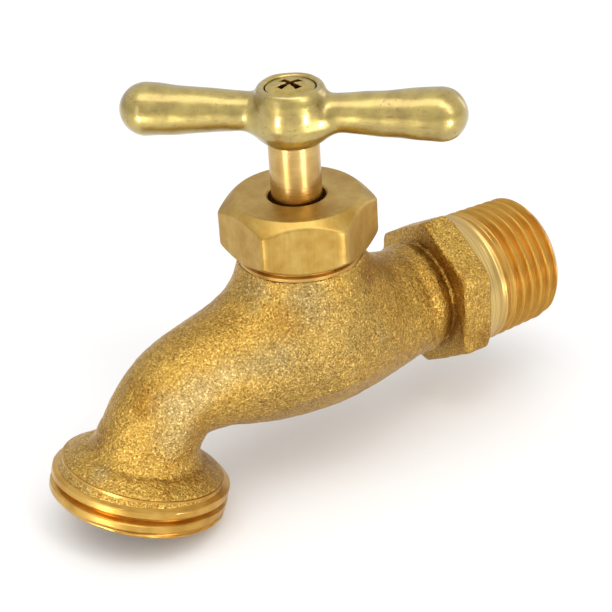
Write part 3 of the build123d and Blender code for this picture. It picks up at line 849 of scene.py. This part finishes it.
def handle_brass():
    """The tumbled handle: a waxy gloss over faint dents, with small dark pits."""
    n = Nodes("handle_brass")
    cloud = n.noise(2.6, detail=4.0, roughness=0.6)
    pits = n.ramp(n.noise(0.6, detail=2.0), (0.25, 0.0), (0.33, 1.0))
    colour = n.ramp(cloud, (0.34, (0.35, 0.245, 0.052)), (0.62, (0.47, 0.355, 0.082)))
    colour = n.mix(n.maths("SUBTRACT", 1.0, pits), colour, (0.22, 0.13, 0.035))
    along = n.add("ShaderNodeVectorRotate", {"rotation_type": "Z_AXIS"}, Angle=-handle_turn())
    n.put(along.inputs["Vector"], n.object_points(offset=(STEM_X * MM, 0, 0)))
    stretch = n.add("ShaderNodeVectorMath", {"operation": "MULTIPLY"})
    n.put(stretch.inputs[0], along.outputs[0])
    n.put(stretch.inputs[1], (0.22, 1, 1))
    scuffs = n.ramp(n.noise(0.40, stretch.outputs[0], detail=3.0), (0.54, 0.0), (0.66, 1.0))
    scuffs = n.mix(1.0, scuffs, n.ramp(n.noise(4.5), (0.46, 0.0), (0.60, 0.7)), "MULTIPLY")
    colour = n.mix(scuffs, colour, (0.25, 0.155, 0.045))
    rough = n.maths("MULTIPLY_ADD", cloud, 0.22, 0.22)
    n.shader.inputs["Coat Weight"].default_value = 0.85
    n.shader.inputs["Coat Roughness"].default_value = 0.2
    n.shader.inputs["Coat IOR"].default_value = 1.7
    normal = n.bump(pits, 0.02)
    normal = n.bump(n.noise(1.0, detail=3.0), 0.022, normal=normal)
    return n.finish(colour, rough, normal)


def screw_brass():
    """The handle screw: yellow on its dome, with painted shade, dark brown, down in its cross and on its head's
    side below the dome.
    """
    n = Nodes("screw_brass")
    dome_r = screw_dome()[1]
    points = n.object_points((1000, 1000, 1000), (STEM_X * MM, 0, (SCREW_TOP - dome_r) * MM))
    deep = n.maths("SUBTRACT", dome_r, n.length(points))
    on_dome = n.ramp(deep, (0.06, 1.0), (0.42, 0.0))
    cloud = n.noise(1.0, detail=3.0)
    top = n.ramp(cloud, (0.34, (0.42, 0.30, 0.08)), (0.66, (0.56, 0.43, 0.13)))
    # Painted shade: dark brown wherever the surface lies below the dome, in the cross and on the head's side.
    colour = n.mix(on_dome, (0.15, 0.075, 0.02), top)
    return n.finish(colour, 0.32, n.bump(n.noise(0.35), 0.015))


def plain_black(name, colour, roughness, grain_mm, depth_mm):
    """Rubber or graphited fibre: dark, matt and a little uneven."""
    n = Nodes(name)
    grain = n.noise(grain_mm, detail=3.0)
    tone = n.mix(grain, tuple(c * 0.7 for c in colour), colour)
    return n.finish(tone, roughness, n.bump(grain, depth_mm), metallic=0.0)


# ---- the studio ----

def make_floor():
    size = 3.0
    low = CAD_BOX[0][2] - 0.0002
    mesh = bpy.data.meshes.new("floor")
    corners = [(-size, -size, low), (size, -size, low), (size, size, low), (-size, size, low)]
    mesh.from_pydata(corners, [], [(0, 1, 2, 3)])
    n = Nodes("floor_white")
    mesh.materials.append(n.finish((0.82, 0.82, 0.82, 1), 0.9, metallic=0.0))
    floor = bpy.data.objects.new("floor", mesh)
    bpy.context.scene.collection.objects.link(floor)


def outward(azimuth, elevation):
    """A direction out from the bib. Azimuth 0 is towards -Y, and 90 is towards +X."""
    a, e = math.radians(azimuth), math.radians(elevation)
    return Vector((math.sin(a) * math.cos(e), -math.cos(a) * math.cos(e), math.sin(e)))


def soft_light(name, azimuth, elevation, distance, width, height, power):
    """A rectangular softbox that faces the middle of the bib."""
    middle = Vector((STEM_X * MM, 0, 0.01))
    out = outward(azimuth, elevation)
    data = bpy.data.lights.new(name, "AREA")
    data.shape = "RECTANGLE"
    data.size, data.size_y = width, height
    data.energy = power
    light = bpy.data.objects.new(name, data)
    light.location = middle + out * distance
    light.rotation_euler = out.to_track_quat("Z", "Y").to_euler()
    bpy.context.scene.collection.objects.link(light)


def floor_glow(power):
    """A small light that hangs in front and brightens the floor there, which the low surfaces mirror."""
    data = bpy.data.lights.new("front floor", "AREA")
    data.shape = "RECTANGLE"
    data.size, data.size_y = 0.08, 0.12
    data.energy = power
    light = bpy.data.objects.new("front floor", data)
    light.location = ((STEM_X - 20) * MM, -0.16, CAD_BOX[0][2] + 0.35)
    bpy.context.scene.collection.objects.link(light)


def small_card(azimuth, elevation, distance, size, power):
    """A small bright card near the floor, mirrored as a soft white spot on the handle's boss."""
    out = outward(azimuth, elevation)
    data = bpy.data.lights.new("card", "AREA")
    data.size = size
    data.energy = power
    light = bpy.data.objects.new("card", data)
    light.location = Vector((STEM_X * MM, 0, HANDLE_LOW[2] * MM + 0.004)) + out * distance
    light.rotation_euler = out.to_track_quat("Z", "Y").to_euler()
    bpy.context.scene.collection.objects.link(light)


def make_world():
    """A pale room: bright overhead, greyer towards the horizon."""
    world = bpy.data.worlds.new("studio")
    world.use_nodes = True
    bpy.context.scene.world = world
    tree = world.node_tree
    place = tree.nodes.new("ShaderNodeTexCoord")
    split = tree.nodes.new("ShaderNodeSeparateXYZ")
    ramp = tree.nodes.new("ShaderNodeValToRGB")
    tree.links.new(place.outputs["Generated"], split.inputs[0])
    tree.links.new(split.outputs["Z"], ramp.inputs["Fac"])
    stops = [(0.0, 0.62), (0.12, 0.74), (0.45, 0.95), (1.0, 1.0)]
    elements = ramp.color_ramp.elements
    while len(elements) < len(stops):
        elements.new(0.5)
    for element, (where, grey) in zip(elements, stops):
        element.position = where
        element.color = (grey, grey, grey, 1)
    background = tree.nodes["Background"]
    tree.links.new(ramp.outputs["Color"], background.inputs["Color"])
    background.inputs["Strength"].default_value = 1.0


def make_camera():
    """The view from the front left and above."""
    back = outward(-32.26, 29.34)
    roll = math.radians(-3.52)
    right = (-back).cross(Vector((0, 0, 1))).normalized()
    up = right.cross(-back)
    turned_right = right * math.cos(roll) + up * math.sin(roll)
    turned_up = up * math.cos(roll) - right * math.sin(roll)
    data = bpy.data.cameras.new("camera")
    data.lens = 108.76
    data.sensor_width = 36
    data.clip_start, data.clip_end = 0.01, 20
    camera = bpy.data.objects.new("camera", data)
    place = Vector((STEM_X - 132.42, -210.44, 145.69)) * MM
    facing = Matrix((turned_right, turned_up, back)).transposed().to_4x4()
    camera.matrix_world = Matrix.Translation(place) @ facing
    bpy.context.scene.collection.objects.link(camera)
    bpy.context.scene.camera = camera


def main():
    make_camera()
    make_world()
    make_floor()
    soft_light("key", azimuth=8, elevation=40, distance=1.0, width=0.35, height=0.7, power=2.2)
    soft_light("top", azimuth=-60, elevation=72, distance=1.1, width=0.9, height=0.6, power=3)
    soft_light("left", azimuth=-75, elevation=10, distance=0.7, width=0.15, height=0.5, power=0.35)
    soft_light("right", azimuth=92, elevation=5, distance=0.7, width=0.15, height=0.5, power=0.4)
    floor_glow(0.1)
    for azimuth in (-72, 4):
        small_card(azimuth, elevation=-17, distance=0.15, size=0.03, power=0.055)
    bpy.context.scene.view_settings.view_transform = "Standard"

    cast = cast_brass()
    stem_axis = (STEM_X * MM, 0, 0)
    end = INLET_REACH - PIPE_LENGTH
    thread = turned_brass("thread_brass", (0.60, 0.335, 0.065), 0.33, stem_axis, (1, 0, 0), line_mm=0.2,
                          dark=0.88, band=(end, end + 5.5, (0.62, 0.44, 0.16)))
    collar = turned_brass("collar_brass", (0.56, 0.34, 0.095), 0.28, (0, 0, 0), (0, 0, 1))
    hose = turned_brass("hose_thread_brass", (0.60, 0.36, 0.085), 0.30, (0, 0, 0), tuple(HOSE_AXIS))
    make_casting(cast)
    make_inlet_thread(thread)
    make_hose_thread(hose)
    make_neck_thread(collar)
    make_packing_nut(nut_brass())
    make_handle(handle_brass())
    make_handle_screw(screw_brass())
    plain = {
        "stem": turned_brass("stem_brass", (0.58, 0.39, 0.145), 0.26, stem_axis, (0, 0, 1), line_mm=0.2),
        "packing_gland": turned_brass("gland_brass", (0.56, 0.36, 0.11), 0.3, stem_axis, (0, 0, 1),
                                      along=False),
        "stem_packing": plain_black("packing_fibre", (0.05, 0.05, 0.055), 0.7, 0.3, 0.05),
        "seat_washer": plain_black("washer_rubber", (0.02, 0.02, 0.02), 0.6, 0.5, 0.01),
        "seat_washer_screw": turned_brass("washer_screw_brass", (0.55, 0.36, 0.11), 0.3, stem_axis,
                                          (0, 0, 1)),
    }
    for node, material in plain.items():
        mesh = frame["nodes"][node].data
        mesh.materials.clear()
        mesh.materials.append(material)


main()
